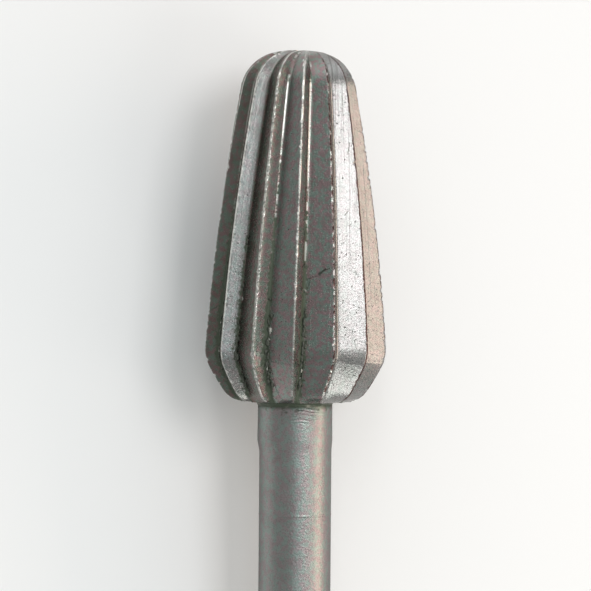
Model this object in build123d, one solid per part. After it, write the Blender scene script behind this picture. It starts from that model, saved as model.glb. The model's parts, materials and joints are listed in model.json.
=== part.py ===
"""Carbide burr: a fluted, round-ended taper head brazed on a 2.35 mm handpiece shank.

Millimetres.  The tool is first built upright, tip up, with its tip at the origin and its
axis on Z.  It is then laid down as it comes to rest on a bench, on two neighbouring teeth
and the rim of its shank's end, with the axis along Y, the tip towards +Y, and +Z up.
"""
import os
from math import acos, asin, atan, cos, degrees, hypot, pi, radians, sin, sqrt

from build123d import *

# ---------------------------------------------------------------- driving dimensions
overall_length = 44.5        # tip to shank end, the standard length of a handpiece tool

# Head: a body of revolution before its teeth are ground.  Places on it are given by their
# radius and by how far they lie behind the tip; slopes are measured from the tool's axis.
head_diameter = 6.0          # over the tooth crests, at the widest place
head_length = 11.5           # tip to back face
widest_behind_tip = 9.71
nose_radius = 3.95           # the flat dome at the tip
corner_radius = 1.43         # rounds the dome into the flank
flank_radius = 74.0          # the long, slightly bellied taper
flank_slope = 4.2            # degrees, where the flank meets the shoulder
shoulder_radius = 1.27       # rolls over the widest place
shoulder_slope = 24.0        # degrees, where the shoulder stops
bevel_break = 3.0            # degrees, the faint edge between shoulder and bevel
bevel_radius = 6.5           # the bevel behind the shoulder is slightly bellied too
heel_radius = 0.8            # rounds the bevel into the back face

# Teeth: straight V gullets ground along the head, each a little askew.
tooth_count = 14
rake_angle = 38.0            # degrees, the V's steep side, from its middle plane
clearance_angle = 74.0       # degrees, the V's shallow side, which is the tooth's back
land_width = 0.04            # what is left of the blank along each crest
gullet_skew = 2.2            # degrees, each gullet turned about its own radial line
skew_centre_behind_tip = 7.2
gullet_start_radius = 0.4    # where the gullets begin, beside the tip's centre

# Stations at which a gullet is worked out, on each arc of the head's outline.
nose_stations = 2
corner_stations = 5
flank_stations = 4
shoulder_stations = 5
bevel_stations = 3
heel_stations = 5
halvings = 40                # steps in the search for a gullet's depth
tilt_rounds = 20             # steps in the search for the resting tilt

# Joint between head and shank.
braze_film = 0.08            # thickness of the braze between head and shank
braze_fillet = 0.16          # reach of the hollow braze fillet round the neck
braze_throat = 0.055         # how far the fillet's middle stands off neck and back face

# Shank: a plain handpiece shank with a slightly upset neck.
shank_diameter = 2.35
neck_top_diameter = 2.39     # at the braze
neck_foot_diameter = 2.43    # the neck swells a little on its way down
neck_offset = 0.03           # the neck stands this far to one side of the axis
neck_offset_turn = 169.0     # degrees about the axis, from +X
neck_length = 1.05
neck_fade = 0.45             # length over which the neck runs out into the shank
end_chamfer = 0.25

# ---------------------------------------------------------------- the head's meridian
# An arc of the meridian is (centre radius, centre place, arc radius, first slope, last slope).
# Slopes run from -90 at the tip, through 0 where the surface is parallel to the axis,
# to +90 on the back face.


def on_arc(arc, slope):
    """The point of an arc at which the surface has this slope, in degrees."""
    return (arc[0] + arc[2] * cos(radians(slope)), arc[1] + arc[2] * sin(radians(slope)))


def slope_from(centre, point):
    """The slope, in degrees, of a surface whose normal runs from centre to point."""
    return degrees(asin((point[1] - centre[1]) / hypot(point[0] - centre[0], point[1] - centre[1])))


def centre_behind(point, radius, slope):
    """Centre of the arc that passes a point with this slope."""
    return (point[0] - radius * cos(radians(slope)), point[1] - radius * sin(radians(slope)))


def circles_cross(first, first_radius, second, second_radius):
    """Of the two points where circles cross, the one nearer the tip."""
    apart = hypot(second[0] - first[0], second[1] - first[1])
    along = (first_radius ** 2 - second_radius ** 2 + apart ** 2) / (2 * apart)
    aside = sqrt(first_radius ** 2 - along ** 2)
    unit = ((second[0] - first[0]) / apart, (second[1] - first[1]) / apart)
    foot = (first[0] + along * unit[0], first[1] + along * unit[1])
    pair = [(foot[0] - side * unit[1], foot[1] + side * unit[0]) for side in (-aside, aside)]
    return min(pair, key=lambda point: point[1])


def meridian_arcs():
    """The six arcs of the head's outline, from the tip to the back face."""
    widest_radius = head_diameter / 2
    shoulder_centre = (widest_radius - shoulder_radius, widest_behind_tip)
    shoulder = (*shoulder_centre, shoulder_radius, -flank_slope, shoulder_slope)

    flank_centre = centre_behind(on_arc(shoulder, -flank_slope), flank_radius, -flank_slope)
    nose_centre = (0.0, nose_radius)
    corner_centre = circles_cross(
        nose_centre, nose_radius - corner_radius, flank_centre, flank_radius - corner_radius
    )
    nose_end = slope_from(nose_centre, corner_centre)
    flank_start = slope_from(flank_centre, corner_centre)
    nose = (*nose_centre, nose_radius, -90.0, nose_end)
    corner = (*corner_centre, corner_radius, nose_end, flank_start)
    flank = (*flank_centre, flank_radius, flank_start, -flank_slope)

    bevel_slope = shoulder_slope + bevel_break
    bevel_centre = centre_behind(on_arc(shoulder, shoulder_slope), bevel_radius, bevel_slope)
    heel_place = head_length - heel_radius
    heel_slope = degrees(asin((heel_place - bevel_centre[1]) / (bevel_radius - heel_radius)))
    bevel = (*bevel_centre, bevel_radius, bevel_slope, heel_slope)
    heel_centre = centre_behind(on_arc(bevel, heel_slope), heel_radius, heel_slope)
    heel = (*heel_centre, heel_radius, heel_slope, 90.0)
    return [nose, corner, flank, shoulder, bevel, heel]


arcs = meridian_arcs()
print("meridian slopes", [(round(arc[3], 2), round(arc[4], 2)) for arc in arcs])


# ---------------------------------------------------------------- head
def gullet_sides(depth, radius, slope, aside):
    """Where the two sides of a V gullet break through the surface, seen along the gullet.

    Gives (across, outward) from the V's root for the steep and for the shallow side, and the
    width between them along the surface.  Across the gullet the surface is an arc of the
    hoop radius.  Its centre lies to one side of the V's middle plane, because the gullet
    passes beside the tool's axis.
    """
    hoop = radius / cos(radians(slope))
    drop = sqrt(hoop ** 2 - aside ** 2) - depth
    sides = []
    turns = []
    for side, angle in ((-1, rake_angle), (1, clearance_angle)):
        run = side * sin(radians(angle))
        rise = cos(radians(angle))
        half = run * aside + rise * drop
        length = -half + sqrt(half ** 2 + hoop ** 2 - aside ** 2 - drop ** 2)
        sides.append((run * length, rise * length))
        turns.append(atan((aside + run * length) / (drop + rise * length)))
    return sides, hoop * (turns[1] - turns[0])


def gullet_depth(radius, slope, aside):
    """Depth at which a gullet leaves just the land between itself and its neighbour."""
    wanted = 2 * pi * radius / tooth_count - land_width
    low, high = 0.0, radius / 2
    for _ in range(halvings):
        middle = (low + high) / 2
        if gullet_sides(middle, radius, slope, aside)[1] < wanted:
            low = middle
        else:
            high = middle
    return low


def gullet_station(arc, slope):
    """Steep crest, root and shallow crest of the gullet on the +X side, at one slope."""
    radius, behind = on_arc(arc, slope)
    aside = (skew_centre_behind_tip - behind) * sin(radians(gullet_skew))
    depth = gullet_depth(radius, slope, aside)
    out, back = cos(radians(slope)), sin(radians(slope))
    root = (sqrt(radius ** 2 - aside ** 2) - depth * out, aside, -(behind - depth * back))
    sides = gullet_sides(depth, radius, slope, aside)[0]
    steep, shallow = [
        (root[0] + outward * out, root[1] + across, root[2] - outward * back)
        for across, outward in sides
    ]
    return steep, root, shallow


def on_blank(arc, slope, like):
    """A point of the blank's surface at the same turn about the axis as another point."""
    radius, behind = on_arc(arc, slope)
    from_axis = hypot(like[0], like[1])
    return (like[0] / from_axis * radius, like[1] / from_axis * radius, -behind)


def front_stations():
    """The gullet from beside the tip's centre to the end of the shoulder."""
    nose, corner, flank, shoulder, _, _ = arcs
    start_slope = -degrees(acos(gullet_start_radius / nose_radius))
    stations = []
    for arc, first, steps in (
        (nose, start_slope, nose_stations),
        (corner, corner[3], corner_stations),
        (flank, flank[3], flank_stations),
        (shoulder, shoulder[3], shoulder_stations),
    ):
        last = arc[4]
        for step in range(steps):
            stations.append(gullet_station(arc, first + (last - first) * step / steps))
    stations.append(gullet_station(shoulder, shoulder[4]))
    stations[0] = tuple(on_blank(nose, start_slope, point) for point in stations[0])
    return stations


def rear_stations(start):
    """The gullet over the bevel and the heel, where its root runs straight out behind."""
    _, _, _, _, bevel, heel = arcs
    stations = [start]
    for step in range(1, bevel_stations + 1):
        slope = bevel[3] + (bevel[4] - bevel[3]) * step / bevel_stations
        stations.append(gullet_station(bevel, slope))
    before, last = stations[-2], stations[-1]
    heading = [last[1][axis] - before[1][axis] for axis in range(3)]
    to_back = (-head_length - last[1][2]) / heading[2]
    for step in range(1, heel_stations + 1):
        slope = heel[3] + (heel[4] - heel[3]) * step / heel_stations
        along = to_back * step / heel_stations
        root = tuple(last[1][axis] + heading[axis] * along for axis in range(3))
        stations.append((on_blank(heel, slope, last[0]), root, on_blank(heel, slope, last[2])))
    return stations


def gullet_lines(stations, turn):
    """Steep crest, root and shallow crest as three curves, turned about the axis."""
    return [
        Spline([station[line] for station in stations]).rotate(Axis.Z, turn) for line in range(3)
    ]


def fluted_head():
    """The head, skinned tooth by tooth from its crest lines and gullet roots."""
    front = front_stations()
    rear = rear_stations(front[-1])
    faces = []
    for stations in (front, rear):
        turns = [tooth * 360 / tooth_count for tooth in range(tooth_count)]
        gullets = [gullet_lines(stations, turn) for turn in turns]
        for tooth, (steep, root, shallow) in enumerate(gullets):
            next_steep = gullets[(tooth + 1) % tooth_count][0]
            for first, second in ((steep, root), (root, shallow), (shallow, next_steep)):
                faces.append(Face.make_surface_from_curves(first, second))
    for stations, end in ((front, 0), (rear, -1)):
        rim = []
        for tooth in range(tooth_count):
            about = Rotation(0, 0, tooth * 360 / tooth_count)
            rim += [(about * Pos(*point)).position for point in stations[end]]
        faces.append(make_face(Polyline(*rim, close=True)).faces()[0])
    return Solid(Shell(faces))


# ---------------------------------------------------------------- braze
neck_top = -(head_length + braze_film)
neck_axis = Pos(
    neck_offset * cos(radians(neck_offset_turn)), neck_offset * sin(radians(neck_offset_turn)), 0
)


def braze_joint():
    """The film of braze between head and neck, with its hollow fillet."""
    neck_radius = neck_top_diameter / 2
    neck_swell = (neck_foot_diameter - neck_top_diameter) / 2
    foot_radius = neck_radius + neck_swell * (braze_fillet - braze_film) / neck_length
    fillet_outer = neck_radius + braze_fillet
    fillet_foot = -(head_length + braze_fillet)
    edges = [
        Line((0, 0, -head_length), (fillet_outer, 0, -head_length)),
        ThreePointArc(
            (fillet_outer, 0, -head_length),
            (neck_radius + braze_throat, 0, -(head_length + braze_throat)),
            (foot_radius, 0, fillet_foot),
        ),
        Line((foot_radius, 0, fillet_foot), (neck_radius, 0, neck_top)),
        Line((neck_radius, 0, neck_top), (0, 0, neck_top)),
        Line((0, 0, neck_top), (0, 0, -head_length)),
    ]
    return neck_axis * revolve(make_face(edges), Axis.Z)


# ---------------------------------------------------------------- shank
def steel_shank():
    """The shank with its slightly upset neck, which fades into the true diameter."""
    shank_radius = shank_diameter / 2
    neck_foot = neck_top - neck_length
    fade_foot = neck_foot - neck_fade
    shank_end = -overall_length
    rings = [neck_axis * Pos(0, 0, neck_top) * Circle(neck_top_diameter / 2),
             neck_axis * Pos(0, 0, neck_foot) * Circle(neck_foot_diameter / 2),
             Pos(0, 0, fade_foot) * Circle(shank_radius)]
    neck = loft(rings[:2])
    fade = loft(rings[1:])
    barrel = Pos(0, 0, shank_end) * extrude(Circle(shank_radius), fade_foot - shank_end)
    barrel = chamfer(barrel.edges().sort_by(Axis.Z)[0], end_chamfer)
    return neck + fade + barrel


# ---------------------------------------------------------------- at rest
def crest_turn(slope):
    """Turn of a tooth's crest about the axis, at this slope of the shoulder."""
    steep, _, shallow = gullet_station(arcs[3], slope)
    pitch_turn = 360 / tooth_count
    turns = [degrees(atan(point[1] / point[0])) for point in (shallow, steep)]
    return (turns[0] + turns[1] + pitch_turn) / 2


def resting_tilt():
    """Tilt, in degrees, at which two teeth and the rim of the shank's end touch the bench."""
    land_turn = degrees(land_width / head_diameter)
    lower_crest = cos(radians(180 / tooth_count - land_turn))
    rim = (shank_diameter / 2, overall_length - end_chamfer)
    tilt = 0.0
    for _ in range(tilt_rounds):
        touch = on_arc(arcs[3], tilt)
        tilt = degrees(atan((touch[0] * lower_crest - rim[0]) / (rim[1] - touch[1])))
    return tilt


tilt = resting_tilt()
half_pitch = 180 / tooth_count
roll = 90 + half_pitch - crest_turn(tilt)
nodes = {
    "cutter_head": fluted_head().rotate(Axis.Z, roll),
    "braze_joint": braze_joint(),
    "shank": steel_shank(),
}
laid = {name: shape.rotate(Axis.X, tilt - 90) for name, shape in nodes.items()}
box = Compound(children=[Part() + shape for shape in laid.values()]).bounding_box()
seat = Pos(-(box.min.X + box.max.X) / 2, -(box.min.Y + box.max.Y) / 2, -box.min.Z)

os.makedirs("parts", exist_ok=True)
for name, shape in laid.items():
    export_step(seat * shape, f"parts/{name}.step")
    print(name, "volume", round(shape.volume, 3), "mm3")

tip = (seat * Pos(0, 0, 0)).position
print("roll", round(roll, 3), "tilt", round(tilt, 4), "tip at", tuple(round(v, 4) for v in tip))
print("box", box.size)
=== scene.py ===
# %% [markdown]
# # A carbide burr, dressed in Blender
# A burr is a small grinding tool: a head of cemented carbide with ground teeth, brazed on a
# plain steel shank. The CAD model gives the sizes and the resting place. This lesson makes the
# visible skin of each piece with the marks of its making and its use: the grinding wheel's
# lines on the teeth, chipped crests, dirt in the gullets, the braze, the shank's dull turning.
# Some shade and a few highlights are painted into the colours as well.

# %% Load the fixed frame
import json
import math

import bmesh
import bpy
import numpy as np
from mathutils import Matrix, Vector


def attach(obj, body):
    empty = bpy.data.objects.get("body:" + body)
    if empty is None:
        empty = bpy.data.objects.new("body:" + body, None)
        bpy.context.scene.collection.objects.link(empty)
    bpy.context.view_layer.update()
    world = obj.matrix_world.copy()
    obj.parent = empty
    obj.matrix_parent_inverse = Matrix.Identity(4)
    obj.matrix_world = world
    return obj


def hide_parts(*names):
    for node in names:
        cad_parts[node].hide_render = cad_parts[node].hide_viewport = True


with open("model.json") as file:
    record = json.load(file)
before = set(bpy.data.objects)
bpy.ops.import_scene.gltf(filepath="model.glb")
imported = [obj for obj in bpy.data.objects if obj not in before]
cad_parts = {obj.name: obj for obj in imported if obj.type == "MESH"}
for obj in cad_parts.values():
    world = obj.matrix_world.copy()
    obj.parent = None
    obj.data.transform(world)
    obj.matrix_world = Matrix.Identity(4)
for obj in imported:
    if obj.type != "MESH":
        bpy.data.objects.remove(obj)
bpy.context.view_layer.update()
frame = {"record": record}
MM = 0.001
grip = frame["record"]["mounts"][0]

# %% [markdown]
# ## The tool's own axis
# The burr lies on its side, so its axis is tilted a little. One could build it lying down, but
# a turned thing is easier to build upright, with its tip at zero and its shank hanging down -Z,
# in millimetres, and to lay the finished points down at the end. The place of the axis is read
# from the record's mount, the plain stretch of the shank, so the pieces follow the CAD model.

# %% Where the axis lies
GRIP_MIDDLE = 28.665  # from the tip to the middle of the shank's plain stretch
grip_place = Vector(grip["pos_m"])
to_shank = Vector(grip["axis"]).normalized()
tip_place = grip_place - to_shank * GRIP_MIDDLE * MM
tilt = math.asin(-to_shank.z)
print("tilt", round(math.degrees(tilt), 3), "degrees, tip at", tip_place)


def laid_down(points):
    """Upright points in millimetres, tip at zero, as points of the frame in metres."""
    points = np.asarray(points, float)
    lie = tilt - math.pi / 2
    across, deep, up = points[..., 0], points[..., 1], points[..., 2]
    laid = np.stack([
        across,
        deep * math.cos(lie) - up * math.sin(lie),
        deep * math.sin(lie) + up * math.cos(lie),
    ], axis=-1)
    return laid * MM + np.array(tip_place)


# %% [markdown]
# ## The camera
# A lens close above the tool, as for a picture of a small thing in a catalogue: it looks
# straight down on the axis and stands a little to one side of the upright, so that one tooth's
# crest faces it. Its place is given about the tool's own axis, so it follows the tilt.

# %% The view
VIEW_DISTANCE = 100.0  # from the axis
VIEW_BEHIND_TIP = 7.98  # place on the axis at the middle of the picture
VIEW_ASIDE = 0.033  # the axis lies this far right of the middle
VIEW_TURN = math.radians(-101.05)
VIEW_LEAN = math.radians(0.5)
PICTURE_ROLL = math.radians(-0.42)
PIXELS_PER_MM = 30.72
PICTURE_PIXELS = 591
SENSOR = 36.0
NEAREST, FARTHEST = 0.001, 10.0  # metres
print("view from", VIEW_DISTANCE, "mm,", PICTURE_PIXELS / PIXELS_PER_MM, "mm wide")


# %% Helpers that place the camera and the lamps
def around(turn, lean):
    """Direction away from the upright axis, turned about it and leaned to the tip."""
    return np.array([math.cos(lean) * math.cos(turn), math.cos(lean) * math.sin(turn),
                     math.sin(lean)])


def facing(place, right, up, back):
    """The placing of a camera or a lamp that looks away from back."""
    return Matrix.Translation(place) @ Matrix((right, up, back)).transposed().to_4x4()


# %% Camera
middle = np.array([0.0, 0.0, -VIEW_BEHIND_TIP])
aim = Vector(laid_down(middle))
stand = Vector(laid_down(middle + VIEW_DISTANCE * around(VIEW_TURN, VIEW_LEAN)))
camera_data = bpy.data.cameras.new("camera")
camera_data.sensor_width = SENSOR
camera_data.lens = PIXELS_PER_MM * VIEW_DISTANCE / PICTURE_PIXELS * SENSOR
camera_data.clip_start = NEAREST
camera_data.clip_end = FARTHEST
camera = bpy.data.objects.new("camera", camera_data)
bpy.context.scene.collection.objects.link(camera)
sight = (aim - stand).normalized()
tool_up = -to_shank
right = sight.cross(tool_up).normalized()
up = right.cross(sight).normalized()
stand -= right * VIEW_ASIDE * MM
camera.matrix_world = facing(stand, right, up, -sight) @ Matrix.Rotation(-PICTURE_ROLL, 4, "Z")
bpy.context.scene.camera = camera
print("camera at", stand, "lens", round(camera_data.lens, 1), "mm")

# %% [markdown]
# ## The room
# The tool lies on a plain pale table in a dim grey room. A bright room would light the metal
# from all sides and leave it flat, so the room only fills the shadows.

# %% Room and table
ROOM_LEVEL = 0.46
ROOM_COLOUR = (0.97, 1.0, 0.985, 1.0)
TABLE_COLOUR = (0.90, 0.90, 0.90, 1.0)
TABLE_ROUGHNESS = 0.9
TABLE_HALF = 1.5  # metres
TABLE_DROP = 0.00002  # a hair below the tool
world = bpy.data.worlds.new("studio")
bpy.context.scene.world = world
world.use_nodes = True
room = world.node_tree.nodes["Background"]
room.inputs["Color"].default_value = ROOM_COLOUR
room.inputs["Strength"].default_value = ROOM_LEVEL

floor_mesh = bpy.data.meshes.new("floor")
floor_mesh.from_pydata(
    [(-TABLE_HALF, -TABLE_HALF, 0), (TABLE_HALF, -TABLE_HALF, 0),
     (TABLE_HALF, TABLE_HALF, 0), (-TABLE_HALF, TABLE_HALF, 0)], [], [(0, 1, 2, 3)])
floor = bpy.data.objects.new("floor", floor_mesh)
floor.location.z = -TABLE_DROP
bpy.context.scene.collection.objects.link(floor)
floor_finish = bpy.data.materials.new("pale_table")
floor_finish.use_nodes = True
table = floor_finish.node_tree.nodes["Principled BSDF"]
table.inputs["Base Color"].default_value = TABLE_COLOUR
table.inputs["Roughness"].default_value = TABLE_ROUGHNESS
table.inputs["Specular IOR Level"].default_value = 0.0
floor_mesh.materials.append(floor_finish)
print("room at level", ROOM_LEVEL, "and a table of", 2 * TABLE_HALF, "m")

# %% [markdown]
# ## The lamps
# Ground metal shows what it reflects, so most of its light and dark bands are made by placing
# lamps; a few highlights in the roots and on the crests, and some shade in the roots and on the
# faces turned away from the lamps, are painted in the finish. Each lamp has a level, the
# brightness that is seen in it, and a place that is given as the camera sees it from the tool:
# turned to the right, and leaned towards the tip.
# The key lamp, right of the camera, shines in one broad tooth back. A cool window close beside
# the camera shines in the faces that look straight up, and a warm lamp low on the right gives
# the outermost tooth its beige. The lamps at tail and tip shine in the bevel and the nose, and
# a narrow one picks out the rounded roots. The shank has a small lamp of its own, close to it,
# which hardly shows in the head.

# %% Soft lamps
LAMP_DISTANCE = 0.40  # metres
HEAD_MIDDLE = 7.0  # mm behind the tip


def seen_from(turn_degrees, lean_degrees):
    """Direction in the frame, given as the camera sees it: turned right, leaned to the tip."""
    there = laid_down(around(VIEW_TURN + math.radians(turn_degrees), math.radians(lean_degrees)))
    return (Vector(there) - tip_place).normalized()


def soft_lamp(name, turn_degrees, lean_degrees, wide_degrees, tall_degrees, level, colour,
              distance=LAMP_DISTANCE, behind_tip=HEAD_MIDDLE):
    """A rectangular lamp of this level that fills these angles as seen from the tool."""
    width, height = [2 * distance * math.tan(math.radians(angle) / 2)
                     for angle in (wide_degrees, tall_degrees)]
    data = bpy.data.lights.new(name, "AREA")
    data.shape = "RECTANGLE"
    data.size = width
    data.size_y = height
    data.energy = level * math.pi * width * height
    data.color = colour
    lamp = bpy.data.objects.new(name, data)
    bpy.context.scene.collection.objects.link(lamp)
    direction = seen_from(turn_degrees, lean_degrees)
    target = Vector(laid_down((0.0, 0.0, -behind_tip)))
    side = tool_up.cross(direction).normalized()
    top = direction.cross(side).normalized()
    lamp.matrix_world = facing(target + direction * distance, side, top, direction)
    print("lamp", name, round(data.energy, 2), "W at", [round(v, 3) for v in lamp.location])


# name, then turned, leaned, wide and tall in degrees, then level and colour
soft_lamp("key", 32.0, 15.5, 20.0, 25.0, 5.4, (1.0, 0.985, 0.985))
soft_lamp("window", 10.0, -1.0, 12.0, 26.0, 1.25, (0.76, 0.94, 1.0))
soft_lamp("warm_side", 82.0, -2.0, 22.0, 54.0, 3.05, (1.0, 0.79, 0.65))
soft_lamp("tail", 52.0, -56.0, 30.0, 18.0, 3.8, (0.98, 1.0, 0.95))
soft_lamp("tip", 10.0, 72.0, 90.0, 40.0, 1.0, (0.98, 0.98, 1.0))
soft_lamp("over_roots", -2.0, 32.0, 10.0, 30.0, 2.2, (1.0, 1.0, 1.0))
soft_lamp("shank_side", 55.0, -5.0, 27.0, 13.0, 2.25, (1.0, 0.94, 0.88),
          distance=0.06, behind_tip=16.6)

# %% [markdown]
# ## The head's outline
# Before its teeth are ground, the head is a body of revolution whose outline is six arcs:
# nose, corner, flank, shoulder, bevel and heel. A drawn curve could come near it, but arcs that
# follow from a few sizes stay true to the CAD source, whose sizes they are; only the back face
# is a hair sooner, where the real head stops. Each arc is kept as its centre, its radius and
# the slopes between which it runs. Slopes go from -90 at the tip, through 0 where the surface
# is parallel to the axis, to +90 on the back face.

# %% Sizes of the blank
HEAD_DIAMETER = 6.0
HEAD_LENGTH = 11.42
WIDEST_BEHIND_TIP = 9.71
NOSE_RADIUS = 3.95
CORNER_RADIUS = 1.43
FLANK_RADIUS = 74.0
FLANK_SLOPE = math.radians(4.2)
SHOULDER_RADIUS = 1.27
SHOULDER_SLOPE = math.radians(24.0)
BEVEL_BREAK = math.radians(3.0)
BEVEL_RADIUS = 6.5
HEEL_RADIUS = 0.8


def on_arc(arc, slope):
    """(radius, behind the tip) of the point of an arc with this slope."""
    return np.array([arc[0] + arc[2] * math.cos(slope), arc[1] + arc[2] * math.sin(slope)])


def centre_behind(point, radius, slope):
    """Centre of the arc that passes a point with this slope."""
    return point - radius * np.array([math.cos(slope), math.sin(slope)])


def slope_from(centre, point):
    """Slope of a surface whose normal runs from centre to point."""
    return math.asin((point[1] - centre[1]) / np.hypot(*(point - centre)))


def circles_cross(first, first_radius, second, second_radius):
    """Of the two points where circles cross, the one nearer the tip."""
    apart = np.hypot(*(second - first))
    along = (first_radius ** 2 - second_radius ** 2 + apart ** 2) / (2 * apart)
    aside = math.sqrt(first_radius ** 2 - along ** 2)
    unit = (second - first) / apart
    across = np.array([-unit[1], unit[0]])
    return min([first + along * unit + side * across for side in (-aside, aside)],
               key=lambda point: point[1])


print("blank", HEAD_DIAMETER, "by", HEAD_LENGTH, "mm")


# %% Outline of the blank
def meridian_arcs():
    """The six arcs from the tip to the back face."""
    shoulder_centre = np.array([HEAD_DIAMETER / 2 - SHOULDER_RADIUS, WIDEST_BEHIND_TIP])
    shoulder = (*shoulder_centre, SHOULDER_RADIUS, -FLANK_SLOPE, SHOULDER_SLOPE)
    flank_centre = centre_behind(on_arc(shoulder, -FLANK_SLOPE), FLANK_RADIUS, -FLANK_SLOPE)
    nose_centre = np.array([0.0, NOSE_RADIUS])
    corner_centre = circles_cross(nose_centre, NOSE_RADIUS - CORNER_RADIUS,
                                  flank_centre, FLANK_RADIUS - CORNER_RADIUS)
    nose_end = slope_from(nose_centre, corner_centre)
    flank_start = slope_from(flank_centre, corner_centre)
    bevel_start = SHOULDER_SLOPE + BEVEL_BREAK
    bevel_centre = centre_behind(on_arc(shoulder, SHOULDER_SLOPE), BEVEL_RADIUS, bevel_start)
    heel_place = HEAD_LENGTH - HEEL_RADIUS
    heel_start = math.asin((heel_place - bevel_centre[1]) / (BEVEL_RADIUS - HEEL_RADIUS))
    bevel = (*bevel_centre, BEVEL_RADIUS, bevel_start, heel_start)
    heel_centre = centre_behind(on_arc(bevel, heel_start), HEEL_RADIUS, heel_start)
    return [
        (*nose_centre, NOSE_RADIUS, -math.pi / 2, nose_end),
        (*corner_centre, CORNER_RADIUS, nose_end, flank_start),
        (*flank_centre, FLANK_RADIUS, flank_start, -FLANK_SLOPE),
        shoulder,
        bevel,
        (*heel_centre, HEEL_RADIUS, heel_start, math.pi / 2),
    ]


arcs = meridian_arcs()
print("arcs end at slopes", [round(math.degrees(arc[4]), 1) for arc in arcs])

# %% [markdown]
# ## One gullet
# A wheel with a lopsided V edge is run along the head, a little askew. Its steep side leaves
# the cutting face of one tooth, its shallow side the broad back of the next. Cutting the blank
# with a boolean would give ragged triangles, so the gullet is worked out instead: its depth is
# found by halving steps, so that only a narrow land of the blank is left along each crest.

# %% A gullet, slope by slope
TOOTH_COUNT = 14
RAKE_ANGLE = math.radians(38.0)
CLEARANCE_ANGLE = math.radians(74.0)
LAND_WIDTH = 0.04
GULLET_SKEW = math.radians(2.2)
SKEW_CENTRE = 7.2  # behind the tip
HALVINGS = 30
PITCH_TURN = 2 * math.pi / TOOTH_COUNT


def gullet_sides(depth, radius, slope, aside):
    """(across, outward) of the steep and the shallow crest from the root, and the width."""
    hoop = radius / math.cos(slope)
    drop = math.sqrt(hoop ** 2 - aside ** 2) - depth
    sides, turns = [], []
    for side, angle in ((-1, RAKE_ANGLE), (1, CLEARANCE_ANGLE)):
        run, rise = side * math.sin(angle), math.cos(angle)
        half = run * aside + rise * drop
        length = -half + math.sqrt(half ** 2 + hoop ** 2 - aside ** 2 - drop ** 2)
        sides.append((run * length, rise * length))
        turns.append(math.atan((aside + run * length) / (drop + rise * length)))
    return sides, hoop * (turns[1] - turns[0])


def gullet_station(arc, slope):
    """Steep crest, root and shallow crest of the gullet on the +X side, at one slope."""
    radius, behind = on_arc(arc, slope)
    aside = (SKEW_CENTRE - behind) * math.sin(GULLET_SKEW)
    wanted = PITCH_TURN * radius - LAND_WIDTH
    low, high = 0.0, radius / 2
    for _ in range(HALVINGS):
        depth = (low + high) / 2
        if gullet_sides(depth, radius, slope, aside)[1] < wanted:
            low = depth
        else:
            high = depth
    out, back = math.cos(slope), math.sin(slope)
    root = np.array([math.sqrt(radius ** 2 - aside ** 2) - low * out, aside,
                     -(behind - low * back)])
    steep, shallow = [
        root + np.array([outward * out, across, -outward * back])
        for across, outward in gullet_sides(low, radius, slope, aside)[0]
    ]
    return np.array([steep, root, shallow])


print("gullet depth at the widest place", round(
    HEAD_DIAMETER / 2 - float(np.hypot(*gullet_station(arcs[3], 0.0)[1][:2])), 2), "mm")

# %% [markdown]
# ## Rows along the teeth
# The CAD solid needs a few stations only. The visible skin gets a row every few hundredths of
# a millimetre. A subdivision modifier would round the crests off, while close rows keep them
# sharp and are fine enough to hold the small chips that a hard, brittle tooth gets.

# %% Rows
ROW_STEP = 0.036
FEWEST_ROWS = 4  # on an arc
GULLET_START = 0.4  # from the axis, where the gullets begin on the nose
START_BLEND = 0.2  # the gullets reach full depth over this much of the nose
HEADING_ROWS = 8  # over which the root's heading is taken before the heel


def smooth_step(share):
    """0 below 0, 1 above 1, smooth between."""
    share = np.clip(share, 0, 1)
    return share * share * (3 - 2 * share)


def on_blank(arc, slope, like):
    """A point of the blank at the same turn about the axis as another point."""
    radius, behind = on_arc(arc, slope)
    from_axis = math.hypot(like[0], like[1])
    return np.array([like[0] / from_axis * radius, like[1] / from_axis * radius, -behind])


def head_rows():
    """Stations, blank points and slopes from the tip's rim to the back face."""
    stations, blanks, slopes = [], [], []
    for number, arc in enumerate(arcs):
        on_nose, on_heel = number == 0, number == len(arcs) - 1
        start = -math.acos(GULLET_START / NOSE_RADIUS) if on_nose else arc[3]
        count = max(FEWEST_ROWS, round(arc[2] * (arc[4] - start) / ROW_STEP))
        if on_heel:  # the root runs straight on, out through the back face
            last = gullet_station(arcs[-2], arcs[-2][4])
            heading = last[1] - stations[-HEADING_ROWS][1]
            run = heading * (-HEAD_LENGTH - last[1][2]) / heading[2]
        for step in range(count + on_heel):
            slope = start + (arc[4] - start) * step / count
            if on_heel:
                station = np.array([on_blank(arc, slope, last[0]), last[1] + run * step / count,
                                    on_blank(arc, slope, last[2])])
            else:
                station = gullet_station(arc, slope)
            if on_nose:
                grown = smooth_step((on_arc(arc, slope)[0] - GULLET_START) / START_BLEND)
                flat = np.array([on_blank(arc, slope, point) for point in station])
                station = flat + (station - flat) * grown
            stations.append(station)
            blanks.append(on_arc(arc, slope))
            slopes.append(slope)
    return np.array(stations), np.array(blanks), np.array(slopes)


stations, blanks, slopes = head_rows()
along = np.concatenate([[0.0], np.cumsum(np.hypot(*np.diff(blanks, axis=0).T))])
print("rows:", len(stations), "along", round(along[-1], 2), "mm of outline")

# %% [markdown]
# ## Columns across a tooth
# Across one tooth the skin runs down the cutting face, round the root, which the wheel's edge
# leaves slightly rounded, and up the back to the next crest. Even columns would waste points on
# the flat back, so they crowd together near the crests, where the chips are.

# %% Columns
ROOT_RADIUS = 0.07
ROOT_LIMIT = 0.3  # of a small tooth's cutting face
ROOT_STEPS = 3
FACE_SHARES = (0.0, 0.07, 0.2, 0.5)  # of the way from the crest to the root
BACK_SHARES = (0.16, 0.34, 0.52, 0.68, 0.80, 0.88, 0.935, 0.97, 1.0)  # on to the next crest


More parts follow.
